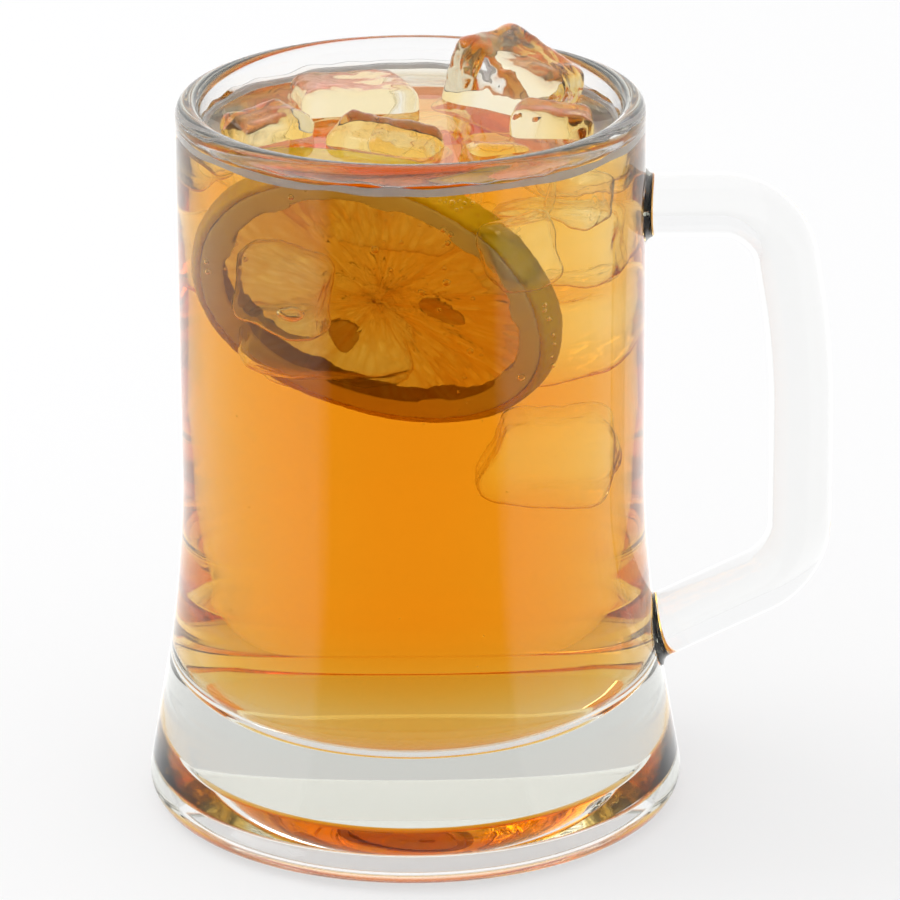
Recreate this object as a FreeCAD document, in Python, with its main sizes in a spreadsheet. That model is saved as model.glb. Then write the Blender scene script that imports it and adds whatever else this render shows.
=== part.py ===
import FreeCAD, Part
import Sketcher
import math
import os

# Glass beer mug of an iced drink, with a slice of lemon and blocks of ice.
# Millimetres, +Z up, origin on the mug's axis at the plane it stands on.
# The handle points along +X and the slice faces the front, -Y.

SIZES = {
    # Mug: straight wall above a flared skirt, on a thick floor.
    "mug_height": 143.2,
    "wall_radius": 45.45,
    "bore_radius": 40.6,
    "lip_round": 2.3,
    "knee_height": 47.8,
    "knee_round": 220,
    "skirt_radius": 53.9,
    "heel_round": 5,
    "floor_height": 20,
    "floor_radius": 37.8,
    "floor_round": 9,
    # Handle: a bar with a flat oval section, bent at four corners.
    "bar_depth": 12.2,
    "bar_width": 14.4,
    "arm_height": 121.3,
    "arm_root": 42.6,
    "corner_reach": 71.2,
    "corner_round": 13,
    "grip_reach": 76.2,
    "grip_bend": 90.5,
    "grip_round": 140,
    "elbow_height": 46.9,
    "elbow_round": 13.5,
    "foot_root": 44.4,
    "foot_root_height": 31.6,
    "joint_round": 1.6,
    # Drink, up to its level below the lip.
    "drink_level": 137,
    # Lemon slice: zest, white pith with its membranes, and the pulp.
    "slice_radius": 30.5,
    "slice_bulge": 0.5,
    "slice_thickness": 6,
    "slice_edge_round": 0.5,
    "zest": 1.8,
    "pith": 4.1,
    "core_radius": 3,
    "membrane": 0.9,
    "pulp_corner": 3.0,
    "pulp_tip": 0.3,
    "slice_side": -5.4,
    "slice_front": -9.5,
    "slice_height": 107.2,
    "slice_turn": -25.5,
    "slice_lean": -24,
    "ice_round": 2.6,
}

# Angles of the lemon's segments, in degrees, going round from the right.
SEGMENT_SPANS = (42, 36, 44, 38, 41, 35, 45, 37, 42)

# Ice that breaks the surface: length, width, height, centre x, y and z,
# and turns about Z, then about its own width, then about its own length.
ICE = {
    "ice_1": (24, 17, 25, 19.5, 19, 135.5, -40, 19, 0),
    "ice_2": (24, 10.8, 23, -3.5, -7.1, 129.9, -25.5, 3, 24),
    "ice_3": (16, 13, 9.5, -27.8, -2.5, 136.6, 30, -6, 5),
    "ice_4": (16.5, 10.5, 16, 27.4, -1.8, 134, -6, 2, 3),
    "ice_5": (13, 11, 13, 16, -13.6, 131.6, 20, 10, -14),
    "ice_6": (24, 21, 21, -11.5, 18.5, 130.6, 12, 2, -4),
}
ICE_FIELDS = ("long", "wide", "tall", "x", "y", "z", "turn", "dip", "roll")
ICE_TAPER = 0.88

PLANE_NORMAL_Z = FreeCAD.Vector(0, 0, 1)
os.makedirs("parts", exist_ok=True)
doc = FreeCAD.newDocument("iced_mug")


def all_cells():
    """Gather every driving dimension under its name in the sheet."""
    cells = dict(SIZES)
    for number, span in enumerate(SEGMENT_SPANS, start=1):
        cells[f"span_{number}"] = span
    for name, values in ICE.items():
        for field, value in zip(ICE_FIELDS, values):
            cells[f"{name}_{field}"] = value
    return cells


def fill_sheet():
    """Put every driving dimension in the sheet under its own alias."""
    sheet = doc.addObject("Spreadsheet::Sheet", "sizes")
    for row, (name, value) in enumerate(CELLS.items(), start=1):
        sheet.set(f"A{row}", name)
        sheet.set(f"B{row}", str(value))
        sheet.setAlias(f"B{row}", name)
    doc.recompute()
    return sheet


CELLS = all_cells()
sheet = fill_sheet()


def size(expression):
    """Work out an expression of the sheet's names, as a plain number."""
    return float(sheet.evalExpression(expression))


def new_sketch(body, name, plane, offset=None):
    """Start a sketch on one of the body's own origin planes."""
    sketch = body.newObject("Sketcher::SketchObject", name)
    features = body.Origin.OriginFeatures
    sketch.AttachmentSupport = [(next(f for f in features if f.Role == plane), "")]
    sketch.MapMode = "FlatFace"
    if offset:
        sketch.setExpression("AttachmentOffset.Base.z", f"sizes.{offset}")
    return sketch


def pin(sketch, geometry, end, across, up):
    """Hold a point of the sketch at two sizes, or on an axis where one is 0."""
    for kind, value, axis in (("DistanceX", across, -2), ("DistanceY", up, -1)):
        if value == "0":
            sketch.addConstraint(Sketcher.Constraint("PointOnObject", geometry, end, axis))
            continue
        held = Sketcher.Constraint(kind, -1, 1, geometry, end, size(value))
        index = sketch.addConstraint(held)
        sketch.setExpression(f"Constraints[{index}]", with_sheet(value))


def with_sheet(expression):
    """Write an expression of sheet names as one that other objects can use."""
    words = expression.split()
    return " ".join(f"sizes.{word}" if word in CELLS else word for word in words)


def rounded_outline(sketch, corners, closed):
    """Draw straight runs through the corners, each (across, up, round or None).

    A rounded corner is an arc tangent to both runs, whose meeting point is
    held by a construction point.
    """
    count = len(corners)
    spots = [FreeCAD.Vector(size(a), size(b), 0) for a, b, _ in corners]
    bends = {}
    for i, (_, _, radius) in enumerate(corners):
        if radius:
            bends[i] = bend_arc(spots[i - 1], spots[i], spots[(i + 1) % count], size(radius))
    runs = {}
    for i in range(count if closed else count - 1):
        following = (i + 1) % count
        start = bends[i]["out"] if i in bends else spots[i]
        end = bends[following]["into"] if following in bends else spots[following]
        runs[i] = sketch.addGeometry(Part.LineSegment(start, end))
    for i, corner in enumerate(corners):
        into, out = runs.get((i - 1) % count), runs.get(i)
        if i in bends:
            join_corner(sketch, bends[i], into, out, spots[i], corner)
            continue
        if into is not None and out is not None:
            sketch.addConstraint(Sketcher.Constraint("Coincident", into, 2, out, 1))
        held = (out, 1) if out is not None else (into, 2)
        pin(sketch, held[0], held[1], corner[0], corner[1])


def bend_arc(last, spot, following, radius):
    """The arc that rounds a corner, with the points where it meets the runs."""
    before = (last - spot).normalize()
    after = (following - spot).normalize()
    half = before.getAngle(after) / 2
    reach = radius / math.tan(half)
    middle = spot + (before + after).normalize() * (radius / math.sin(half))
    into, out = spot + before * reach, spot + after * reach
    turns_left = after.cross(before).z > 0
    first, final = (into, out) if turns_left else (out, into)
    first_angle = math.atan2(first.y - middle.y, first.x - middle.x)
    final_angle = math.atan2(final.y - middle.y, final.x - middle.x)
    if final_angle < first_angle:
        final_angle += 2 * math.pi
    circle = Part.Circle(middle, PLANE_NORMAL_Z, radius)
    arc = Part.ArcOfCircle(circle, first_angle, final_angle)
    return {"arc": arc, "into": into, "out": out, "turns_left": turns_left}


def join_corner(sketch, bend, into, out, spot, corner):
    """Add one rounded corner between two runs of an outline."""
    across, up, radius = corner
    arc = sketch.addGeometry(bend["arc"])
    first, final = (1, 2) if bend["turns_left"] else (2, 1)
    sketch.addConstraint(Sketcher.Constraint("Tangent", into, 2, arc, first))
    sketch.addConstraint(Sketcher.Constraint("Tangent", arc, final, out, 1))
    index = sketch.addConstraint(Sketcher.Constraint("Radius", arc, size(radius)))
    sketch.setExpression(f"Constraints[{index}]", with_sheet(radius))
    corner_point = sketch.addGeometry(Part.Point(spot), True)
    for run in (into, out):
        sketch.addConstraint(Sketcher.Constraint("PointOnObject", corner_point, 1, run))
    pin(sketch, corner_point, 1, across, up)


def revolve(body, sketch):
    """Turn a section right round the body's Z axis."""
    turned = body.newObject("PartDesign::Revolution", f"{sketch.Name}_turned")
    turned.Profile = sketch
    turned.ReferenceAxis = (sketch, ["V_Axis"])
    turned.Angle = 360
    doc.recompute()
    return turned


def bore_corners(top):
    """The corners of the mug's inside, from its top edge to the floor's centre."""
    return [
        ("bore_radius", top, None),
        ("floor_radius", "floor_height", "floor_round"),
        ("0", "floor_height", None),
    ]


def make_mug():
    """The glass mug: a turned body, with its handle swept along a bent path."""
    body = doc.addObject("PartDesign::Body", "mug_glass")
    section = new_sketch(body, "mug_section", "XZ_Plane")
    corners = [
        ("0", "0", None),
        ("skirt_radius", "0", "heel_round"),
        ("wall_radius", "knee_height", "knee_round"),
        ("wall_radius", "mug_height", "lip_round"),
        ("bore_radius", "mug_height", "lip_round"),
    ] + bore_corners("mug_height")[1:]
    rounded_outline(section, corners, closed=True)
    revolve(body, section)
    add_handle(body)
    return body


def add_handle(body):
    """Sweep the handle's oval section along its path and round its two joints."""
    path = new_sketch(body, "handle_path", "XZ_Plane")
    corners = [
        ("arm_root", "arm_height", None),
        ("corner_reach", "arm_height", "corner_round"),
        ("grip_reach", "grip_bend", "grip_round"),
        ("grip_reach", "elbow_height", "elbow_round"),
        ("foot_root", "foot_root_height", None),
    ]
    rounded_outline(path, corners, closed=False)
    oval = new_sketch(body, "handle_oval", "YZ_Plane", offset="arm_root")
    middle = FreeCAD.Vector(0, size("arm_height"), 0)
    wide = middle + FreeCAD.Vector(size("bar_width / 2"), 0, 0)
    deep = middle + FreeCAD.Vector(0, size("bar_depth / 2"), 0)
    ring = oval.addGeometry(Part.Ellipse(wide, deep, middle))
    oval.exposeInternalGeometry(ring)
    pin(oval, ring, 3, "0", "arm_height")
    oval.addConstraint(Sketcher.Constraint("Horizontal", ring + 1))
    for axis, cell in ((ring + 1, "bar_width"), (ring + 2, "bar_depth")):
        index = oval.addConstraint(Sketcher.Constraint("Distance", axis, size(cell)))
        oval.setExpression(f"Constraints[{index}]", f"sizes.{cell}")
    doc.recompute()
    handle = body.newObject("PartDesign::AdditivePipe", "handle")
    handle.Profile = oval
    edges = [f"Edge{i + 1}" for i in range(len(path.Shape.Edges))]
    handle.Spine = (path, edges)
    doc.recompute()
    joints = [f"Edge{i + 1}" for i, e in enumerate(handle.Shape.Edges) if is_joint(e)]
    rounding = body.newObject("PartDesign::Fillet", "joint_rounding")
    rounding.Base = (handle, joints)
    rounding.setExpression("Radius", "sizes.joint_round")
    doc.recompute()


def is_joint(edge):
    """Whether an edge is where the handle meets the mug's outer wall."""
    box = edge.BoundBox
    beside_wall = box.XMin > size("wall_radius") * 0.96 and box.XMax < size("skirt_radius")
    return beside_wall and box.YLength > size("bar_width") * 0.3


def make_drink(contents):
    """The drink: the mug's inside up to its level, cut round what is in it."""
    body = doc.addObject("PartDesign::Body", "drink_whole")
    section = new_sketch(body, "drink_section", "XZ_Plane")
    rise = "( drink_level - floor_height ) / ( mug_height - floor_height )"
    edge = f"floor_radius + ( bore_radius - floor_radius ) * {rise}"
    corners = [(edge, "drink_level", None)] + bore_corners("drink_level")[1:]
    corners.append(("0", "drink_level", None))
    rounded_outline(section, corners, closed=True)
    revolve(body, section)
    inside = doc.addObject("Part::Compound", "drink_contents")
    inside.Links = contents
    drink = doc.addObject("Part::Cut", "drink")
    drink.Base = body
    drink.Tool = inside
    return drink


def slice_placement():
    """Stand the slice up, lean its top forwards and turn its face to one side."""
    upright = FreeCAD.Rotation(FreeCAD.Vector(1, 0, 0), 90 - size("slice_lean"))
    turned = FreeCAD.Rotation(PLANE_NORMAL_Z, size("slice_turn"))
    centre = FreeCAD.Vector(size("slice_side"), size("slice_front"), size("slice_height"))
    return FreeCAD.Placement(centre, turned.multiply(upright))


def disc(name, radius, place):
    """A round plate as thick as the slice, with its face at the placement."""
    plate = doc.addObject("Part::Cylinder", name)
    plate.setExpression("Radius", radius)
    plate.setExpression("Height", "sizes.slice_thickness")
    plate.Placement = place.multiply(flat_back())
    return plate


def flat_back():
    """Set a plate back, so that its front is the slice's cut face."""
    return FreeCAD.Placement(FreeCAD.Vector(0, 0, -size("slice_thickness")), FreeCAD.Rotation())


def make_slice():
    """The lemon slice: zest ring, pith with its membranes, and the segments."""
    place = slice_placement()
    body = doc.addObject("PartDesign::Body", "slice_whole")
    section = new_sketch(body, "slice_section", "XZ_Plane")
    corners = [
        ("0", "0", None),
        ("slice_radius - slice_bulge", "0", "slice_edge_round"),
        ("slice_radius", "slice_thickness / 2", None),
        ("slice_radius - slice_bulge", "slice_thickness", "slice_edge_round"),
        ("0", "slice_thickness", None),
    ]
    rounded_outline(section, corners, closed=True)
    revolve(body, section)
    body.Placement = place.multiply(flat_back())
    inner = disc("pith_disc", "sizes.slice_radius - sizes.zest", place)
    rind = doc.addObject("Part::Cut", "lemon_rind")
    rind.Base = body
    rind.Tool = inner
    segments = make_segments(place)
    pulp = doc.addObject("Part::Compound", "pulp")
    pulp.Links = segments
    pith = doc.addObject("Part::Cut", "lemon_pith")
    pith.Base = inner
    pith.Tool = pulp
    return body, [rind, pith] + segments


def make_segments(place):
    """One pulp segment for each span, with membranes left between them."""
    core = disc("core", "sizes.core_radius", place)
    segments = []
    bearing = 0
    for number in range(1, len(SEGMENT_SPANS) + 1):
        span = size(f"span_{number}")
        tip = f"membrane / 2 / sin( span_{number} / 2 * 1deg )"
        wedge = doc.addObject("Part::Cylinder", f"wedge_{number}")
        reach = f"slice_radius - zest - pith - {tip}"
        wedge.setExpression("Radius", with_sheet(reach))
        wedge.setExpression("Height", "sizes.slice_thickness")
        wedge.setExpression("Angle", f"sizes.span_{number}")
        first_side = FreeCAD.Rotation(PLANE_NORMAL_Z, bearing)
        middle = FreeCAD.Rotation(PLANE_NORMAL_Z, bearing + span / 2)
        step = middle.multVec(FreeCAD.Vector(size(tip), 0, 0))
        own = FreeCAD.Placement(step, first_side)
        wedge.Placement = place.multiply(flat_back()).multiply(own)
        pulp = doc.addObject("Part::Cut", f"pulp_{number}")
        pulp.Base = wedge
        pulp.Tool = core
        doc.recompute()
        segments.append(round_segment(pulp, number))
        bearing += span
    return segments


def round_segment(pulp, number):
    """Round a segment's upright corners, wide at the pith and tight at the core."""
    segment = doc.addObject("Part::Fillet", f"lemon_segment_{number}")
    segment.Base = pulp
    core_far = size("core_radius * 2")
    centre = slice_placement()
    rounds = []
    for index, edge in enumerate(pulp.Shape.Edges, start=1):
        if len(edge.Vertexes) != 2 or not isinstance(edge.Curve, Part.Line):
            continue
        middle = centre.inverse().multVec(edge.CenterOfMass)
        if abs(edge.Length - size("slice_thickness")) > 1e-3:
            continue
        if abs(middle.z + size("slice_thickness / 2")) > 1e-3:
            continue
        near_core = math.hypot(middle.x, middle.y) < core_far
        radius = size("pulp_tip") if near_core else size("pulp_corner")
        rounds.append((index, radius, radius))
    segment.Edges = rounds
    return segment


def make_ice(name):
    """A block of melting ice: tapered, tipped, and rounded on every edge."""
    block = doc.addObject("Part::Wedge", f"{name}_block")
    spans = (("X", "long", ICE_TAPER), ("Z", "tall", 1.0), ("Y", "wide", None))
    for axis, field, taper in spans:
        block.setExpression(f"{axis}min", f"-sizes.{name}_{field} / 2")
        block.setExpression(f"{axis}max", f"sizes.{name}_{field} / 2")
        if taper:
            block.setExpression(f"{axis}2min", f"-sizes.{name}_{field} / 2 * {taper}")
            block.setExpression(f"{axis}2max", f"sizes.{name}_{field} / 2 * {taper}")
    turn, dip, roll = (size(f"{name}_{field}") for field in ("turn", "dip", "roll"))
    centre = FreeCAD.Vector(*(size(f"{name}_{axis}") for axis in "xyz"))
    block.Placement = FreeCAD.Placement(centre, FreeCAD.Rotation(turn, dip, roll))
    doc.recompute()
    ice = doc.addObject("Part::Fillet", name)
    ice.Base = block
    radius = size("ice_round")
    ice.Edges = [(i + 1, radius, radius) for i in range(len(block.Shape.Edges))]
    return ice


def write_parts(pieces):
    """Check every object of the document, then write one file per piece."""
    doc.recompute()
    for item in doc.Objects:
        if "Invalid" in item.State or "Error" in item.State:
            raise RuntimeError(f"{item.Name} failed: {item.State}")
    for piece in pieces:
        shape = piece.Shape
        if shape.isNull() or not shape.isValid() or len(shape.Solids) != 1:
            raise RuntimeError(f"{piece.Name} is not one sound solid")
        piece.Label = piece.Name
        shape.exportStep(f"parts/{piece.Name}.step")
        print(f"{piece.Name}: {shape.Volume / 1000:.1f} ml")


mug = make_mug()
whole_slice, lemon = make_slice()
ice_blocks = [make_ice(name) for name in ICE]
drink = make_drink([whole_slice] + ice_blocks)
write_parts([mug, drink] + lemon + ice_blocks)
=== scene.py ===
import math
import random

import bmesh
import bpy
from mathutils import Matrix, Vector, noise


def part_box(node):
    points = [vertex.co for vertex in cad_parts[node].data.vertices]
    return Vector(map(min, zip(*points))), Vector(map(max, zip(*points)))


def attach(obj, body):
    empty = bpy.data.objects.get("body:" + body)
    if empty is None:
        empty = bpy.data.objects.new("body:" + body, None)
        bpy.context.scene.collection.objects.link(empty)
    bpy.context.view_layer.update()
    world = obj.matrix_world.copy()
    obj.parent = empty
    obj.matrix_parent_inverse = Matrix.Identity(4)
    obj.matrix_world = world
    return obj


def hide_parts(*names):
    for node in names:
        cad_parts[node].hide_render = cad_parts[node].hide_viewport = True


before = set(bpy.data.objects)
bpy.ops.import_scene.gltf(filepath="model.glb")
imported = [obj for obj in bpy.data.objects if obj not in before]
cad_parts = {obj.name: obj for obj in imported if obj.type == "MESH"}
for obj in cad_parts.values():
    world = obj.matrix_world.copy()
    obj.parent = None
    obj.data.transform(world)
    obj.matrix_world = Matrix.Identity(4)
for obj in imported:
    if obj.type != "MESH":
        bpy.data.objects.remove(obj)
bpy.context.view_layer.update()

MM = 0.001
BODY = "root"

# Mug, as its maker would measure it, in millimetres.
MUG_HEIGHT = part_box("mug_glass")[1].z / MM
WALL_RADIUS = 45.45
BORE_RADIUS = 40.6
LIP_ROUND = 2.36
KNEE_HEIGHT = 47.8
KNEE_ROUND = 220
SKIRT_RADIUS = 53.9
HEEL_ROUND = 5
HOLLOW_RADIUS = 45.5
HOLLOW_BENDS = ((36.5, 7.3), (43.2, 3.9))
HOLLOW_ROUNDS = ((5, 8), (2, 6))
FLOOR_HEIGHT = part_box("drink")[0].z / MM
FLOOR_RADIUS = 37.8
FLOOR_ROUND = 9
DRINK_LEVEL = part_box("drink")[1].z / MM
SPIN_STEPS = 192
SHARP_EDGE = math.radians(32)

# Handle: the centre line's corners in its own plane, each with its bend.
HANDLE_CORNERS = (
    (42.6, 121.3, 0),
    (71.2, 121.3, 13),
    (76.2, 90.5, 140),
    (76.2, 46.9, 13.5),
    (44.4, 31.6, 0),
)
BAR_WIDTH = 14.4
BAR_DEPTH = 12.2
JOINT_ROUND = 1.8
BAR_SIDES = 48
BEND_STEPS = 14
BAR_GAP = 0.5

# Drink: how far it reaches into the wall and the ice, and how its edge climbs the wall.
WALL_BITE = 0.25
ICE_BITE = 0.12
MENISCUS_RISE = 1.9
MENISCUS_SPREAD = 1.5
MENISCUS_WIDTH = 8
MENISCUS_STEPS = 12
MENISCUS_RIPPLE = 0.9
FROTH_DIP = 0.3
FROTH_RISE = 1.2
FROTH_WAVE = 0.7

# Lemon slice: its pose, taken at the middle of its thickness, and its flesh.
SLICE_RADIUS = 30.5
SLICE_THICKNESS = 6
SLICE_TURN = math.radians(-25.5)
SLICE_LEAN = math.radians(-24)
SLICE_MIDDLE = sum(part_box("lemon_rind"), Vector()) / 2 / MM
SLICE_OWN = (
    Matrix.Translation(SLICE_MIDDLE)
    @ Matrix.Rotation(SLICE_TURN, 4, "Z")
    @ Matrix.Rotation(math.pi / 2 - SLICE_LEAN, 4, "X")
)
SEGMENT_SPANS = (42, 36, 44, 38, 41, 35, 45, 37, 42)
SEGMENTS = len(SEGMENT_SPANS)
SKIN_TURNS = [sum(SEGMENT_SPANS[:number]) for number in range(SEGMENTS)]
PULP_REACH = 23.9
PULP_EDGE = 24.95
PULP_RINGS = 60
PULP_STEPS = 360
SAC_LENGTH = 5.5
SACS_ROUND = 12
PIT_GAP = 1.5
SKIN_WIDTH = 0.45
CORE_RADIUS = 2.4
WEDGE_SWELL = 0.45
SAC_SWELL = 0.24
EDGE_WIDTH = 3.2
PIPS = ((14.1, 235, 25), (10.1, 344, -20))
PIP_SIZE = (4.2, 2.3, 1.5)
PIP_TAPER = 0.35
LEMON_GRID = 0.42
LEMON_SOFTENING = 2

# Bubbles: how many cling to the slice's rim and face, how many drift, and their radii.
BUBBLE_SEED = 11
RIM_BUBBLES = 230
RIM_BUBBLE_SIZES = (0.22, 0.28, 0.35, 0.45, 0.6)
FACE_BUBBLES = 120
FACE_BUBBLE_SIZES = (0.2, 0.25, 0.3, 0.4, 0.55, 0.7)
SPECKS = 90

# Ice that lies wholly in the drink: size, middle, turn, dip and roll in degrees.
SUNK_ICE = (
    ((22, 30, 15), (21, 3, 114.5), (5, 6, -8)),
    ((17, 24, 16), (23, 8, 96.5), (-8, -8, 10)),
    ((23, 17, 17), (22, -8, 75), (8, 6, 12)),
    ((18, 11, 16), (-21.5, -21.5, 113), (-33, 8, 6)),
    ((22, 20, 18), (-14, 22, 107), (25, 5, -10)),
    ((18, 12, 16), (3, 32, 106), (-4, -10, 6)),
    ((13, 12, 9), (3, 6, 130.5), (20, 8, 12)),
    ((12, 11, 9), (29, -18, 129.5), (-35, 6, -8)),
    ((13, 10, 9), (-30, 13, 129), (55, -6, 8)),
    ((14, 9, 9), (3, 35, 130), (0, 10, 0)),
    ((26, 13, 15), (-11.5, 2.5, 96), (4, 4, -28)),
    ((25, 22, 14), (-6, 20, 88.5), (-10, 6, 0)),
    ((14, 9, 14), (19, -27, 122), (24, -10, 12)),
)
SURFACE_ICE = 6
ICE_GRID = 0.7
ICE_SOFTENING = 6
BLOCK_CUTS = 18
BLOCK_SQUARENESS = 5.0
BLOCK_TAPER = 0.12

# The pocket of air in one of the sunken blocks.
POCKET_BLOCK = "sunk_ice_4"
POCKET_MIDDLE = (-20.5, -23, 108.5)
POCKET_SIZE = (2.6, 1.6, 1.5)

# Studio.
CAMERA_RISE = math.radians(20.15)
CAMERA_ROLL = math.radians(-0.44)
CAMERA_ASIDE = math.radians(-0.346)
CAMERA_LIFT = math.radians(0.044)
CAMERA_REACH = 1.2
CAMERA_LENS = 244.2
CAMERA_MIDDLE = Vector((0, 0, 0.07))
FLOOR_SIZE = 6.0
FLOOR_DROP = 0.0003
FLOOR_GLOW = 0.96
FLOOR_GLOW_SHARE = 0.6
MIRRORED_LEVEL = 0.78
MIRRORED_BEHIND = 0.7
FRONT_DROP_FLOOR = 0.78
FRONT_DROP_WORLD = 0.1
OPEN_SIDE = math.radians(43)
OPEN_BLUR = 0.03
OPEN_REACH = 0.056
LAMP_SIZE = 0.9
LAMP_POWER = 8
LAMP_PLACE = Vector((-1.1, 0.3, 1.3))
LAMP_AIM = Vector((0, 0, 0.05))


# ---------------------------------------------------------------- making


def new_piece(name, bm, material, replaced=()):
    """Turn a finished bmesh, in metres, into a smooth piece that rides on the mug."""
    mesh = bpy.data.meshes.new(name)
    bm.to_mesh(mesh)
    bm.free()
    mesh.shade_smooth()
    mesh.set_sharp_from_angle(angle=SHARP_EDGE)
    made = bpy.data.objects.new(name, mesh)
    bpy.context.scene.collection.objects.link(made)
    made.data.materials.append(material)
    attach(made, BODY)
    if replaced:
        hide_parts(*replaced)


def move_verts(moves):
    for vert, move in moves.items():
        vert.co += move


def push(bm, amount):
    """Move every vertex along its normal by what amount(vertex) gives."""
    bm.normal_update()
    move_verts({vert: vert.normal * amount(vert) for vert in bm.verts})


def turn_of(spot):
    """The angle of a spot round Z, in radians."""
    return math.atan2(spot.y, spot.x)


def reach_of(spot):
    """The distance of a spot from Z."""
    return math.hypot(spot.x, spot.y)


def around(turn):
    """The level direction at an angle round Z."""
    return Vector((math.cos(turn), math.sin(turn), 0))


def polyline(bm, corners):
    """Lay vertices in the XZ plane, joined by edges, and return them."""
    verts = [bm.verts.new((x, 0, z)) for x, z in corners]
    for first, second in zip(verts, verts[1:]):
        bm.edges.new((first, second))
    return verts


def round_corner(bm, vert, radius, steps):
    """Replace a corner of a polyline by an arc of the given radius."""
    one, two = (edge.other_vert(vert).co - vert.co for edge in vert.link_edges)
    reach = radius / math.tan(one.angle(two) / 2)
    bmesh.ops.bevel(bm, geom=[vert], offset=reach, offset_type="OFFSET", segments=steps,
                    profile=0.5, affect="VERTICES", material=-1)


def spin_round(bm, steps=SPIN_STEPS):
    """Turn the outline right round the mug's axis and close its poles."""
    outline = list(bm.verts) + list(bm.edges)
    bmesh.ops.spin(bm, geom=outline, cent=(0, 0, 0), axis=(0, 0, 1), angle=2 * math.pi,
                   steps=steps, use_merge=True, use_duplicate=False)
    bmesh.ops.remove_doubles(bm, verts=bm.verts, dist=1e-4)
    bmesh.ops.recalc_face_normals(bm, faces=bm.faces)


def to_metres(bm):
    bmesh.ops.scale(bm, vec=(MM, MM, MM), verts=bm.verts)


def boolean(bm, other, operation):
    """Join or cut one mesh with another, both in the same unit, and return the result."""
    made = []
    for index, source in enumerate((bm, other)):
        mesh = bpy.data.meshes.new(f"operand_{index}")
        source.to_mesh(mesh)
        source.free()
        operand = bpy.data.objects.new(mesh.name, mesh)
        bpy.context.scene.collection.objects.link(operand)
        made.append(operand)
    cut = made[0].modifiers.new("cut", "BOOLEAN")
    cut.object = made[1]
    cut.operation = operation
    cut.solver = "EXACT"
    graph = bpy.context.evaluated_depsgraph_get()
    result = bmesh.new()
    result.from_object(made[0], graph)
    for operand in made:
        mesh = operand.data
        bpy.data.objects.remove(operand)
        bpy.data.meshes.remove(mesh)
    return result


# ----------------------------------------------------------------- glass


def wall_at(height):
    """The outer radius of the mug's body at a height, without its small rounds."""
    if height > KNEE_HEIGHT:
        return WALL_RADIUS
    return SKIRT_RADIUS + (WALL_RADIUS - SKIRT_RADIUS) * height / KNEE_HEIGHT


def bore_at(height):
    """The radius of the mug's inside at a height."""
    rise = (height - FLOOR_HEIGHT) / (MUG_HEIGHT - FLOOR_HEIGHT)
    return FLOOR_RADIUS + (BORE_RADIUS - FLOOR_RADIUS) * rise


def mug_body():
    """The body of the mug, with its bore and the recess under its foot."""
    bm = bmesh.new()
    corners = [
        (HOLLOW_RADIUS, 0), (SKIRT_RADIUS, 0), (WALL_RADIUS, KNEE_HEIGHT),
        (WALL_RADIUS, MUG_HEIGHT), (BORE_RADIUS, MUG_HEIGHT), (FLOOR_RADIUS, FLOOR_HEIGHT),
        (0, FLOOR_HEIGHT),
    ]
    verts = polyline(bm, corners)
    hollow = polyline(bm, [(0, HOLLOW_BENDS[0][1]), *HOLLOW_BENDS])
    bm.edges.new((hollow[-1], verts[0]))
    for vert, (radius, steps) in zip(hollow[1:], HOLLOW_ROUNDS):
        round_corner(bm, vert, radius, steps)
    rounds = ((1, HEEL_ROUND, 10), (2, KNEE_ROUND, 16), (3, LIP_ROUND, 10),
              (4, LIP_ROUND, 10), (5, FLOOR_ROUND, 14))
    for index, radius, steps in rounds:
        round_corner(bm, verts[index], radius, steps)
    spin_round(bm)
    return bm


def handle_line():
    """The handle's centre line as closely spaced points, from the top arm down."""
    bm = bmesh.new()
    verts = polyline(bm, [(x, z) for x, z, _ in HANDLE_CORNERS])
    for vert, (_, _, radius) in zip(verts, HANDLE_CORNERS):
        if radius:
            round_corner(bm, vert, radius, BEND_STEPS)
    top = Vector((HANDLE_CORNERS[0][0], 0, HANDLE_CORNERS[0][1]))
    start = min(bm.verts, key=lambda v: (v.co - top).length)
    points, seen = [], set()
    while start:
        points.append(start.co.copy())
        seen.add(start)
        following = [e.other_vert(start) for e in start.link_edges]
        start = next((v for v in following if v not in seen), None)
    bm.free()
    return spaced(points, BAR_GAP)


def spaced(points, gap):
    """Points at an even gap along a line of straight runs."""
    placed = [points[0]]
    for first, second in zip(points, points[1:]):
        count = max(1, round((second - first).length / gap))
        placed += [first.lerp(second, (i + 1) / count) for i in range(count)]
    return placed


def bar_spot(line, station, side):
    """A spot on the bar's skin, by its station along the line and its turn round it."""
    ahead = line[min(station + 1, len(line) - 1)] - line[max(station - 1, 0)]
    across = Vector((-ahead.z, 0, ahead.x)).normalized()
    angle = 2 * math.pi * side / BAR_SIDES
    offset = across * math.cos(angle) * BAR_DEPTH / 2
    offset.y = math.sin(angle) * BAR_WIDTH / 2
    return line[station] + offset * flare(line[station] + offset)


def mug_handle():
    """Roll a sheet into the oval bar along its centre line, and close its ends."""
    line = handle_line()
    stations = len(line) - 1
    bm = bmesh.new()
    bmesh.ops.create_grid(bm, x_segments=stations, y_segments=BAR_SIDES, size=0.5)
    for vert in bm.verts:
        station = round((vert.co.x + 0.5) * stations)
        side = round((vert.co.y + 0.5) * BAR_SIDES) % BAR_SIDES
        vert.co = bar_spot(line, station, side)
    bmesh.ops.remove_doubles(bm, verts=bm.verts, dist=1e-5)
    bmesh.ops.holes_fill(bm, edges=[edge for edge in bm.edges if edge.is_boundary])
    bmesh.ops.recalc_face_normals(bm, faces=bm.faces)
    return bm


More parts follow.
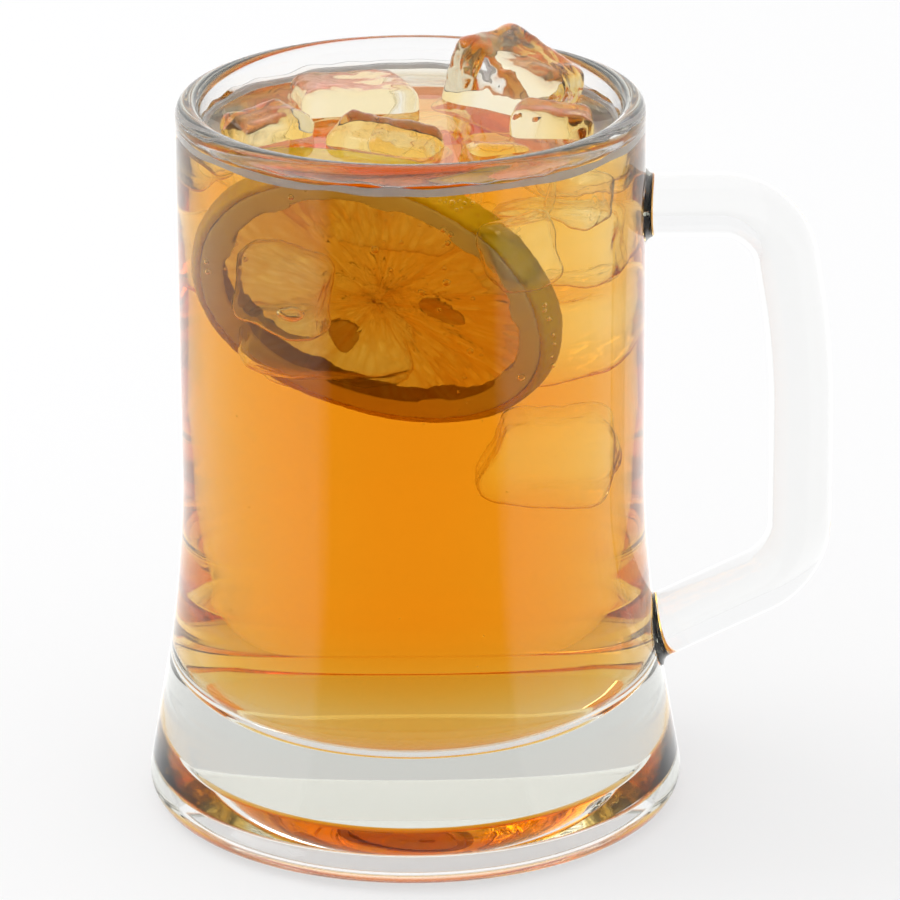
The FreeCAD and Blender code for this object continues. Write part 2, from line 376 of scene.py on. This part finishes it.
def flare(spot):
    """How much wider the bar is at a spot, for the rounding where it meets the wall."""
    clear = reach_of(spot) - wall_at(spot.z)
    if clear > JOINT_ROUND:
        return 1.0
    depth = JOINT_ROUND - max(clear, 0.05)
    grow = JOINT_ROUND - math.sqrt(JOINT_ROUND ** 2 - depth ** 2)
    return 1 + grow / (BAR_DEPTH / 2)


def make_glass(material):
    bm = boolean(mug_body(), mug_handle(), "UNION")
    to_metres(bm)
    new_piece("glass", bm, material, ["mug_glass"])


# ------------------------------------------------------------------- ice


def roughen(bm, seed, swell, grain):
    """Melt a block's faces into low swells with a finer grain on top."""
    shift = Vector((seed * 7.3, seed * 3.1, seed * 5.7))
    bmesh.ops.recalc_face_normals(bm, faces=bm.faces)
    moves = {}
    for vert in bm.verts:
        broad = noise.noise(vert.co * 0.11 + shift)
        fine = noise.noise(vert.co * 0.45 + shift)
        moves[vert] = vert.normal * (broad * swell + fine * grain)
    move_verts(moves)


def cube_block(size):
    """A rounded, tapered block with even small faces, centred on the origin."""
    bm = bmesh.new()
    bmesh.ops.create_cube(bm, size=1)
    bmesh.ops.subdivide_edges(bm, edges=bm.edges, cuts=BLOCK_CUTS, use_grid_fill=True)
    for vert in bm.verts:
        spot = vert.co * 2
        longest = max(abs(axis) for axis in spot)
        length = sum(abs(axis) ** BLOCK_SQUARENESS for axis in spot) ** (1 / BLOCK_SQUARENESS)
        vert.co = spot * (longest / length) / 2
        narrow = 1 - BLOCK_TAPER * (vert.co.z + 0.5)
        vert.co.x *= size[0] * narrow
        vert.co.y *= size[1] * narrow
        vert.co.z *= size[2]
    return bm


def even_copy(node, grid, rounds):
    """A copy of a solid with small even faces, in millimetres, softened a little."""
    bm = bmesh.new()
    bm.from_mesh(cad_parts[node].data)
    bmesh.ops.scale(bm, vec=(1 / MM,) * 3, verts=bm.verts)
    bmesh.ops.remove_doubles(bm, verts=bm.verts, dist=1e-3)
    mesh = bpy.data.meshes.new("copy")
    bm.to_mesh(mesh)
    bm.free()
    copy = bpy.data.objects.new("copy", mesh)
    bpy.context.scene.collection.objects.link(copy)
    even = copy.modifiers.new("even", "REMESH")
    even.mode = "VOXEL"
    even.voxel_size = grid
    soft = copy.modifiers.new("soft", "SMOOTH")
    soft.factor = 0.5
    soft.iterations = rounds
    made = bmesh.new()
    made.from_object(copy, bpy.context.evaluated_depsgraph_get())
    bpy.data.objects.remove(copy)
    bpy.data.meshes.remove(mesh)
    bmesh.ops.recalc_face_normals(made, faces=made.faces)
    return made


def all_ice():
    """Every block of ice as (name, bmesh, node or None), in millimetres."""
    blocks = []
    for number in range(1, SURFACE_ICE + 1):
        bm = even_copy(f"ice_{number}", ICE_GRID, ICE_SOFTENING)
        roughen(bm, number, 0.8, 0.25)
        blocks.append((f"ice_block_{number}", bm, f"ice_{number}"))
    for number, (size, middle, turns) in enumerate(SUNK_ICE, start=1):
        bm = cube_block(size)
        roughen(bm, number + 10, 1.6, 0.3)
        turn, dip, roll = (math.radians(a) for a in turns)
        pose = (Matrix.Translation(middle) @ Matrix.Rotation(turn, 4, "Z")
                @ Matrix.Rotation(dip, 4, "Y") @ Matrix.Rotation(roll, 4, "X"))
        bmesh.ops.transform(bm, matrix=pose, verts=bm.verts)
        blocks.append((f"sunk_ice_{number}", bm, None))
    return blocks


def shrunk(bm, depth):
    """A copy of a mesh with its faces moved inwards."""
    inner = bm.copy()
    bmesh.ops.recalc_face_normals(inner, faces=inner.faces)
    move_verts({vert: vert.normal * -depth for vert in inner.verts})
    return inner


# ----------------------------------------------------------------- lemon


def in_slice(bm):
    """Bring a mesh from the mug's frame into the slice's own, with its core on Z."""
    bmesh.ops.transform(bm, matrix=SLICE_OWN.inverted(), verts=bm.verts)


def from_slice(bm):
    bmesh.ops.transform(bm, matrix=SLICE_OWN, verts=bm.verts)


def sac(spot):
    """How full the flesh stands at a spot: 0 between two juice sacs, 1 on one."""
    bend = noise.noise(spot * 0.16) * 0.7
    cell = Vector((reach_of(spot) / SAC_LENGTH + bend, turn_of(spot) * SACS_ROUND, spot.z * 0.35))
    near = noise.voronoi(cell)[0]
    return min(1.0, (near[1] - near[0]) * 1.5)


def pit(spot):
    """How deep the zest dips at a spot, from 0 to 1."""
    near = noise.voronoi(spot / PIT_GAP)[0]
    return max(0.0, 1 - near[0] * 2.2)


def paint(bm, name, shade):
    """Store shade(spot) on every vertex, for the material to read, and return the layer."""
    layer = bm.verts.layers.float.new(name)
    for vert in bm.verts:
        vert[layer] = shade(vert.co)
    return layer


def lemon_piece(name, bm, material, replaced=()):
    from_slice(bm)
    to_metres(bm)
    new_piece(name, bm, material, replaced)


def make_zest(material):
    """The peel, swollen a little and dimpled with pits."""
    bm = even_copy("lemon_rind", LEMON_GRID, LEMON_SOFTENING)
    in_slice(bm)
    pits = paint(bm, "pit", pit)
    push(bm, lambda v: 0.25 * noise.noise(v.co * 0.12) - 0.16 * v[pits])
    lemon_piece("zest", bm, material, ["lemon_rind"])


def make_pith(material):
    """The white ring, with its fillets between the wedges."""
    ring = even_copy("lemon_pith", LEMON_GRID, LEMON_SOFTENING)
    in_slice(ring)
    middle = bmesh.new()
    bmesh.ops.create_cone(middle, cap_ends=True, segments=96, radius1=PULP_REACH,
                          radius2=PULP_REACH, depth=2 * SLICE_THICKNESS)
    bm = boolean(ring, middle, "DIFFERENCE")
    push(bm, lambda v: 0.12 * noise.noise(v.co * 0.5))
    lemon_piece("pith", bm, material, ["lemon_pith"])


def skin_gap(spot):
    """Distance from a spot to the nearest skin between two wedges."""
    turn = math.degrees(turn_of(spot)) % 360
    gaps = [abs((turn - skin + 180) % 360 - 180) for skin in SKIN_TURNS]
    return reach_of(spot) * math.sin(math.radians(min(min(gaps), 90)))


def skin(spot):
    """How much of the skins and the core shows at a spot."""
    near_skin = math.exp(-(skin_gap(spot) / SKIN_WIDTH) ** 2)
    return near_skin + math.exp(-(reach_of(spot) / CORE_RADIUS) ** 4)


def flesh_rise(spot, fullness):
    """How far the flesh stands above its flat face, lower at skins, edge and corners."""
    gap, reach = skin_gap(spot), reach_of(spot)
    swell = WEDGE_SWELL * (1 - math.exp(-(gap / 1.6) ** 2)) + SAC_SWELL * fullness
    edge = max(0.0, (reach - PULP_EDGE + EDGE_WIDTH) / EDGE_WIDTH)
    corner = max(0.0, 1 - gap / 3) * max(0.0, (reach - 20.5) / 4)
    return swell * (1 - edge ** 2) - 0.25 * edge ** 3 - 0.3 * corner


def make_pulp(material):
    """The flesh: nine swollen wedges, full of sacs that point to the core."""
    bm = bmesh.new()
    half = SLICE_THICKNESS / 2 - 0.1
    rings = [PULP_EDGE * share / PULP_RINGS for share in range(1, PULP_RINGS + 1)]
    outline = [(0, -half)] + [(r, -half) for r in rings]
    outline += [(r, half) for r in reversed(rings)] + [(0, half)]
    polyline(bm, outline)
    spin_round(bm, PULP_STEPS)
    sacs = paint(bm, "sac", sac)
    paint(bm, "skin", skin)
    for vert in bm.verts:
        side = 1 if vert.co.z > 0 else -1
        vert.co.z += side * flesh_rise(vert.co, vert[sacs])
    lemon_piece("pulp", bm, material,
                [f"lemon_segment_{number}" for number in range(1, SEGMENTS + 1)])


def make_pips(material):
    """Two pips that lie in the flesh."""
    for number, (reach, turn, swing) in enumerate(PIPS, start=1):
        bm = bmesh.new()
        bmesh.ops.create_uvsphere(bm, u_segments=24, v_segments=16, radius=1)
        for vert in bm.verts:
            narrow = 1 - PIP_TAPER * vert.co.x
            vert.co = Vector((vert.co.x, vert.co.y * narrow, vert.co.z * narrow))
        bmesh.ops.scale(bm, vec=PIP_SIZE, verts=bm.verts)
        place = (Matrix.Rotation(math.radians(turn), 4, "Z")
                 @ Matrix.Translation((reach, 0, 0)) @ Matrix.Rotation(math.radians(swing), 4, "Z"))
        bmesh.ops.transform(bm, matrix=place, verts=bm.verts)
        lemon_piece(f"pip_{number}", bm, material)


# ----------------------------------------------------------------- drink


def meniscus():
    """The drink's top from its level middle to the wall that it climbs."""
    edge = bore_at(DRINK_LEVEL)
    line = []
    for step in range(MENISCUS_STEPS + 1):
        inset = MENISCUS_WIDTH * (1 - step / MENISCUS_STEPS) ** 2
        height = DRINK_LEVEL + MENISCUS_RISE * math.exp(-inset / MENISCUS_SPREAD)
        line.append((edge + 0.04 - inset, height))
    return line


def drink_body():
    """The drink with its curved edge against the wall, reaching just into the wall."""
    bm = bmesh.new()
    top = meniscus()
    low = FLOOR_HEIGHT - WALL_BITE
    corners = [(0, low), (FLOOR_RADIUS + WALL_BITE, low), (top[-1][0] + WALL_BITE, top[-1][1])]
    corners += reversed(top)
    corners.append((0, DRINK_LEVEL))
    verts = polyline(bm, corners)
    round_corner(bm, verts[1], FLOOR_ROUND + WALL_BITE, 14)
    spin_round(bm)
    for vert in bm.verts:
        climbed = (vert.co.z - DRINK_LEVEL) / MENISCUS_RISE
        if climbed > 0.02:
            ripple = noise.noise(around(turn_of(vert.co)) * 7)
            vert.co.z += MENISCUS_RIPPLE * ripple * climbed
    return bm


def bubble(bm, middle, radius, detail=2):
    bmesh.ops.create_icosphere(bm, subdivisions=detail, radius=radius,
                               matrix=Matrix.Translation(middle))


def join(bm, part):
    """Add the faces of a second mesh, which is used up, to a first."""
    mesh = bpy.data.meshes.new("part")
    part.to_mesh(mesh)
    part.free()
    bm.from_mesh(mesh)
    bpy.data.meshes.remove(mesh)


def add_hollows(bm, hollows):
    """Join closed shapes to a body as hollows, with their faces turned inwards."""
    bmesh.ops.recalc_face_normals(hollows, faces=hollows.faces)
    bmesh.ops.reverse_faces(hollows, faces=hollows.faces)
    join(bm, hollows)


def bubbles_on_slice(bm):
    """Bubbles that cling to the slice's rim and its face, none touching another."""
    chance = random.Random(BUBBLE_SEED)
    placed = []

    def add(spot, radius):
        middle = SLICE_OWN @ spot
        clear = all((middle - other).length > radius + size + 0.05 for other, size in placed)
        if clear and middle.z + radius < DRINK_LEVEL - 1 and in_bore(middle, radius + 1):
            placed.append((middle, radius))
            bubble(bm, middle, radius)

    for _ in range(RIM_BUBBLES):
        turn = math.radians(chance.gauss(38, 26))
        radius = chance.choice(RIM_BUBBLE_SIZES)
        across = chance.uniform(-SLICE_THICKNESS / 2, SLICE_THICKNESS / 2)
        add(around(turn) * (SLICE_RADIUS + radius + 0.3) + Vector((0, 0, across)), radius)
    for _ in range(FACE_BUBBLES):
        turn = chance.uniform(0, 2 * math.pi)
        reach = SLICE_RADIUS * math.sqrt(chance.uniform(0.05, 0.85))
        radius = chance.choice(FACE_BUBBLE_SIZES)
        height = SLICE_THICKNESS / 2 + radius + 0.75
        add(around(turn) * reach + Vector((0, 0, height)), radius)


def in_bore(spot, margin):
    """Whether a spot lies clear of the wall and of the sunken ice."""
    inside = reach_of(spot) < bore_at(spot.z) - margin
    return inside and all((spot - Vector(middle)).length > max(size) * 0.8 + margin
                          for size, middle, _ in SUNK_ICE)


def specks(bm):
    """Fine bubbles adrift in the drink."""
    chance = random.Random(BUBBLE_SEED + 1)
    for _ in range(SPECKS):
        spot = around(chance.uniform(0, 2 * math.pi)) * chance.uniform(20, 38)
        spot.z = chance.uniform(35, 125)
        near = abs((SLICE_OWN.inverted() @ spot).z) < SLICE_THICKNESS
        if in_bore(spot, 1.5) and not near:
            bubble(bm, spot, chance.uniform(0.08, 0.2), 1)


def make_drink(material, blocks):
    """The drink, cut round every block of ice and hollow where bubbles are."""
    cavities = bmesh.new()
    for _, block, _ in blocks:
        join(cavities, shrunk(block, ICE_BITE))
    bm = boolean(drink_body(), cavities, "DIFFERENCE")
    hollows = bmesh.new()
    bubbles_on_slice(hollows)
    specks(hollows)
    add_hollows(bm, hollows)
    to_metres(bm)
    new_piece("amber_drink", bm, material, ["drink"])


def make_froth(material):
    """The thin, uneven line of fine froth where the drink meets the wall."""
    bm = bmesh.new()
    edge = bore_at(DRINK_LEVEL)
    low, high = DRINK_LEVEL - FROTH_DIP, DRINK_LEVEL + FROTH_RISE
    corners = ((edge + 0.1, low), (edge + 0.1, high), (edge - 0.45, high - 0.3), (edge - 0.5, low))
    verts = polyline(bm, corners)
    bm.edges.new((verts[-1], verts[0]))
    spin_round(bm)
    for vert in bm.verts:
        ruffles, lift = (6, 5) if vert.co.z > DRINK_LEVEL else (4, 9)
        spot = around(turn_of(vert.co)) * ruffles + Vector((0, 0, lift))
        vert.co.z += FROTH_WAVE * noise.noise(spot)
    to_metres(bm)
    new_piece("froth_line", bm, material)


def air_pocket():
    """The uneven pocket of air in one block of ice."""
    bm = bmesh.new()
    bmesh.ops.create_icosphere(bm, subdivisions=3, radius=1)
    bmesh.ops.scale(bm, vec=POCKET_SIZE, verts=bm.verts)
    bmesh.ops.translate(bm, vec=POCKET_MIDDLE, verts=bm.verts)
    push(bm, lambda v: 0.35 * noise.noise(v.co * 0.5))
    return bm


def make_ice(material, blocks):
    for name, bm, node in blocks:
        if name == POCKET_BLOCK:
            add_hollows(bm, air_pocket())
        to_metres(bm)
        new_piece(name, bm, material, [node] if node else [])


# ------------------------------------------------------------- materials


def new_material(name):
    material = bpy.data.materials.new(name)
    material.use_nodes = True
    nodes = material.node_tree.nodes
    return material, nodes, material.node_tree.links, nodes["Principled BSDF"]


def add_absorption(nodes, links, color, density):
    """Tint what passes through the inside, per metre of path."""
    inside = nodes.new("ShaderNodeVolumeAbsorption")
    inside.inputs["Color"].default_value = (*color, 1)
    inside.inputs["Density"].default_value = density
    links.new(inside.outputs["Volume"], nodes["Material Output"].inputs["Volume"])


def clear_material(name, ior, mirror=1.0):
    """A clear body; mirror is how much of its head-on reflection it keeps."""
    material, nodes, links, surface = new_material(name)
    surface.inputs["Base Color"].default_value = (1, 1, 1, 1)
    surface.inputs["Roughness"].default_value = 0.0
    surface.inputs["IOR"].default_value = ior
    surface.inputs["Transmission Weight"].default_value = 1.0
    surface.inputs["Specular Tint"].default_value = (mirror, mirror, mirror, 1)
    return material, nodes, links


def glass_material():
    material, nodes, links = clear_material("mug_glass", 1.5, mirror=0.5)
    add_absorption(nodes, links, (0.30, 0.36, 0.12), 2.6)
    return material


def drink_material():
    material, nodes, links = clear_material("amber_drink", 1.333, mirror=0.0)
    add_absorption(nodes, links, (0.983, 0.755, 0.007), 62)
    return material


def ice_material():
    return clear_material("clear_ice", 1.31)[0]


def dull(surface, roughness, transmission=0.0, ior=1.5):
    """Set a surface that scatters light, and how much of it goes through."""
    surface.inputs["Roughness"].default_value = roughness
    surface.inputs["Transmission Weight"].default_value = transmission
    surface.inputs["IOR"].default_value = ior


def shade_between(nodes, links, attribute, low, high):
    """A colour that runs from low to high with a stored shade."""
    stored = nodes.new("ShaderNodeAttribute")
    stored.attribute_name = attribute
    ramp = nodes.new("ShaderNodeMix")
    ramp.data_type = "RGBA"
    ramp.inputs["A"].default_value = (*low, 1)
    ramp.inputs["B"].default_value = (*high, 1)
    links.new(stored.outputs["Fac"], ramp.inputs["Factor"])
    return ramp.outputs["Result"]


def mottle_group():
    """Soft patches that darken a colour down to a share of itself."""
    group = bpy.data.node_groups.new("soft_mottle", "ShaderNodeTree")
    face = group.interface
    face.new_socket("Color", in_out="INPUT", socket_type="NodeSocketColor")
    face.new_socket("Scale", in_out="INPUT", socket_type="NodeSocketFloat")
    face.new_socket("Darkest", in_out="INPUT", socket_type="NodeSocketFloat")
    face.new_socket("Color", in_out="OUTPUT", socket_type="NodeSocketColor")
    nodes, links = group.nodes, group.links
    given = nodes.new("NodeGroupInput")
    place = nodes.new("ShaderNodeTexCoord")
    cloud = nodes.new("ShaderNodeTexNoise")
    cloud.inputs["Detail"].default_value = 4
    links.new(place.outputs["Object"], cloud.inputs["Vector"])
    links.new(given.outputs["Scale"], cloud.inputs["Scale"])
    level = nodes.new("ShaderNodeMapRange")
    links.new(cloud.outputs["Fac"], level.inputs["Value"])
    links.new(given.outputs["Darkest"], level.inputs["To Min"])
    blend = nodes.new("ShaderNodeVectorMath")
    blend.operation = "SCALE"
    links.new(given.outputs["Color"], blend.inputs[0])
    links.new(level.outputs["Result"], blend.inputs["Scale"])
    links.new(blend.outputs["Vector"], nodes.new("NodeGroupOutput").inputs["Color"])
    return group


def mottle(nodes, scale, darkest):
    """The soft patches as a node of one material."""
    node = nodes.new("ShaderNodeGroup")
    node.node_tree = bpy.data.node_groups.get("soft_mottle") or mottle_group()
    node.inputs["Scale"].default_value = scale
    node.inputs["Darkest"].default_value = darkest
    return node


def mottled_material(name, color, scale, darkest):
    """A material of one colour with soft patches."""
    material, nodes, links, surface = new_material(name)
    patches = mottle(nodes, scale, darkest)
    patches.inputs["Color"].default_value = (*color, 1)
    links.new(patches.outputs["Color"], surface.inputs["Base Color"])
    return material, surface


def froth_material():
    material, surface = mottled_material("froth", (1.0, 0.98, 0.98), 1500, 0.9)
    dull(surface, 0.6, 0.5, 1.1)
    return material


def pith_material():
    material, surface = mottled_material("lemon_pith", (1.0, 0.82, 0.52), 220, 0.92)
    dull(surface, 0.6)
    return material


def zest_material():
    material, nodes, links, surface = new_material("lemon_zest")
    patches = mottle(nodes, 160, 0.88)
    peel = shade_between(nodes, links, "pit", (1.0, 0.68, 0.0), (0.94, 0.55, 0.0))
    links.new(peel, patches.inputs["Color"])
    links.new(patches.outputs["Color"], surface.inputs["Base Color"])
    dull(surface, 0.4)
    return material


def pulp_material():
    """Wet flesh that lets the light behind it through, paler on the sacs."""
    material, nodes, links, surface = new_material("lemon_pulp")
    flesh = shade_between(nodes, links, "sac", (0.84, 0.66, 0.34), (1.0, 0.98, 0.84))
    skinned = shade_between(nodes, links, "skin", (1, 1, 1), (0.92, 0.80, 0.60))
    blend = nodes.new("ShaderNodeVectorMath")
    blend.operation = "MULTIPLY"
    links.new(flesh, blend.inputs[0])
    links.new(skinned, blend.inputs[1])
    patches = mottle(nodes, 90, 0.9)
    links.new(blend.outputs["Vector"], patches.inputs["Color"])
    links.new(patches.outputs["Color"], surface.inputs["Base Color"])
    dull(surface, 0.15, 0.82, 1.15)
    return material


def pip_material():
    material, nodes, links, surface = new_material("lemon_pip")
    place = nodes.new("ShaderNodeTexCoord")
    grain = nodes.new("ShaderNodeTexNoise")
    grain.inputs["Scale"].default_value = 900
    links.new(place.outputs["Object"], grain.inputs["Vector"])
    husk = nodes.new("ShaderNodeValToRGB")
    husk.color_ramp.elements[0].color = (0.95, 0.70, 0.30, 1)
    husk.color_ramp.elements[1].color = (1.0, 0.82, 0.45, 1)
    links.new(grain.outputs["Fac"], husk.inputs["Fac"])
    links.new(husk.outputs["Color"], surface.inputs["Base Color"])
    dull(surface, 0.3, 0.75, 1.12)
    return material


def make_lemon():
    make_zest(zest_material())
    make_pith(pith_material())
    make_pulp(pulp_material())
    make_pips(pip_material())


# ---------------------------------------------------------------- studio


def make_camera():
    data = bpy.data.cameras.new("camera")
    data.lens = CAMERA_LENS
    data.clip_end = 20
    camera = bpy.data.objects.new("camera", data)
    bpy.context.scene.collection.objects.link(camera)
    away = Vector((0, -math.cos(CAMERA_RISE), math.sin(CAMERA_RISE)))
    camera.location = CAMERA_MIDDLE + away * CAMERA_REACH
    level = Matrix.Rotation(math.pi / 2 - CAMERA_RISE, 4, "X")
    aside = Matrix.Rotation(CAMERA_ASIDE, 4, "Y")
    lift = Matrix.Rotation(CAMERA_LIFT, 4, "X")
    roll = Matrix.Rotation(CAMERA_ROLL, 4, "Z")
    camera.rotation_euler = (level @ aside @ lift @ roll).to_euler()
    bpy.context.scene.camera = camera


def mirrored_level(nodes, links, place, front_drop):
    """How bright a place is where it is mirrored once: dimmed in front, brightest behind."""
    split = nodes.new("ShaderNodeSeparateXYZ")
    links.new(place, split.inputs["Vector"])
    flat = nodes.new("ShaderNodeCombineXYZ")
    links.new(split.outputs["X"], flat.inputs["X"])
    links.new(split.outputs["Y"], flat.inputs["Y"])
    reach = nodes.new("ShaderNodeVectorMath")
    reach.operation = "LENGTH"
    links.new(flat.outputs["Vector"], reach.inputs[0])
    facing = math_node(nodes, links, "DIVIDE", split.outputs["Y"], reach.outputs["Value"])
    edge = -math.cos(OPEN_SIDE)
    inside = nodes.new("ShaderNodeMapRange")
    inside.interpolation_type = "SMOOTHSTEP"
    inside.inputs["From Min"].default_value = edge + OPEN_BLUR
    inside.inputs["From Max"].default_value = edge - OPEN_BLUR
    links.new(facing, inside.inputs["Value"])
    beyond = math_node(nodes, links, "GREATER_THAN", reach.outputs["Value"], OPEN_REACH)
    gap = math_node(nodes, links, "MULTIPLY", inside.outputs["Result"], beyond)
    behind = nodes.new("ShaderNodeMapRange")
    behind.inputs["From Min"].default_value = -0.1
    behind.inputs["From Max"].default_value = 0.75
    behind.inputs["To Min"].default_value = 0.0
    behind.inputs["To Max"].default_value = MIRRORED_BEHIND
    links.new(facing, behind.inputs["Value"])
    rays = nodes.new("ShaderNodeLightPath")
    outer = math_node(nodes, links, "MULTIPLY", behind.outputs["Result"],
                      rays.outputs["Is Reflection Ray"])
    lit = math_node(nodes, links, "ADD", outer, MIRRORED_LEVEL)
    seen = math_node(nodes, links, "SUBTRACT", lit,
                     math_node(nodes, links, "MULTIPLY", gap, front_drop))
    change = math_node(nodes, links, "SUBTRACT", seen, 1.0)
    once = mirrored_once(nodes, links)
    return math_node(nodes, links, "ADD", math_node(nodes, links, "MULTIPLY", change, once), 1.0)


def mirrored_once(nodes, links):
    """1 for a ray that one polished surface has mirrored and no dull one has scattered."""
    rays = nodes.new("ShaderNodeLightPath")
    once = math_node(nodes, links, "COMPARE", rays.outputs["Glossy Depth"], 1)
    clean = math_node(nodes, links, "LESS_THAN", rays.outputs["Diffuse Depth"], 0.5)
    return math_node(nodes, links, "MULTIPLY", once, clean)


def math_node(nodes, links, operation, first, second):
    """A two-input sum on sockets or numbers; returns its output."""
    node = nodes.new("ShaderNodeMath")
    node.operation = operation
    node.inputs[2].default_value = 0.1
    for socket, value in zip(node.inputs, (first, second)):
        if isinstance(value, (int, float)):
            socket.default_value = value
        else:
            links.new(value, socket)
    return node.outputs["Value"]


def make_floor():
    """A pale floor just under the mug, so that its base keeps its air gap."""
    bm = bmesh.new()
    bmesh.ops.create_grid(bm, x_segments=1, y_segments=1, size=FLOOR_SIZE)
    bmesh.ops.translate(bm, vec=(0, 0, -FLOOR_DROP), verts=bm.verts)
    mesh = bpy.data.meshes.new("floor")
    bm.to_mesh(mesh)
    bm.free()
    floor = bpy.data.objects.new("floor", mesh)
    bpy.context.scene.collection.objects.link(floor)
    material, nodes, links, surface = new_material("studio_floor")
    surface.inputs["Base Color"].default_value = (0.9, 0.9, 0.9, 1)
    surface.inputs["Roughness"].default_value = 0.7
    surface.inputs["Specular IOR Level"].default_value = 0.2
    glow = nodes.new("ShaderNodeEmission")
    glow.inputs["Strength"].default_value = FLOOR_GLOW
    blend = nodes.new("ShaderNodeMixShader")
    blend.inputs["Fac"].default_value = FLOOR_GLOW_SHARE
    links.new(surface.outputs["BSDF"], blend.inputs[1])
    links.new(glow.outputs["Emission"], blend.inputs[2])
    place = nodes.new("ShaderNodeTexCoord").outputs["Object"]
    level = mirrored_level(nodes, links, place, FRONT_DROP_FLOOR)
    mirrored = nodes.new("ShaderNodeMixShader")
    image = nodes.new("ShaderNodeEmission")
    links.new(level, image.inputs["Strength"])
    links.new(mirrored_once(nodes, links), mirrored.inputs["Fac"])
    links.new(blend.outputs["Shader"], mirrored.inputs[1])
    links.new(image.outputs["Emission"], mirrored.inputs[2])
    links.new(mirrored.outputs["Shader"], nodes["Material Output"].inputs["Surface"])
    mesh.materials.append(material)


def make_world():
    """White all round, apart from what polished surfaces mirror of the unlit side."""
    world = bpy.data.worlds.new("studio")
    bpy.context.scene.world = world
    world.use_nodes = True
    nodes, links = world.node_tree.nodes, world.node_tree.links
    back = nodes["Background"]
    back.inputs["Color"].default_value = (0.97, 0.97, 0.98, 1)
    place = nodes.new("ShaderNodeTexCoord").outputs["Generated"]
    level = mirrored_level(nodes, links, place, FRONT_DROP_WORLD)
    links.new(level, back.inputs["Strength"])


def make_lamp():
    """One large soft lamp to the left, above the mug."""
    data = bpy.data.lights.new("soft_lamp", "AREA")
    data.shape = "RECTANGLE"
    data.size = data.size_y = LAMP_SIZE
    data.energy = LAMP_POWER
    lamp = bpy.data.objects.new("soft_lamp", data)
    bpy.context.scene.collection.objects.link(lamp)
    lamp.location = LAMP_PLACE
    lamp.rotation_euler = (LAMP_AIM - LAMP_PLACE).to_track_quat("-Z", "Y").to_euler()


def set_light_paths():
    """Enough bounces for light to pass glass, drink, ice and lemon, and come out again."""
    cycles = bpy.context.scene.cycles
    cycles.max_bounces = 26
    cycles.transmission_bounces = 26
    cycles.glossy_bounces = 12
    cycles.diffuse_bounces = 4
    cycles.adaptive_threshold = 0.1
    cycles.transparent_max_bounces = 16
    cycles.caustics_reflective = True
    cycles.caustics_refractive = True


# ------------------------------------------------------------------ scene

bpy.context.scene.view_settings.view_transform = "Standard"
make_camera()
make_floor()
make_world()
make_lamp()
set_light_paths()
make_glass(glass_material())
ice_blocks = all_ice()
make_drink(drink_material(), ice_blocks)
make_ice(ice_material(), ice_blocks)
make_froth(froth_material())
make_lemon()
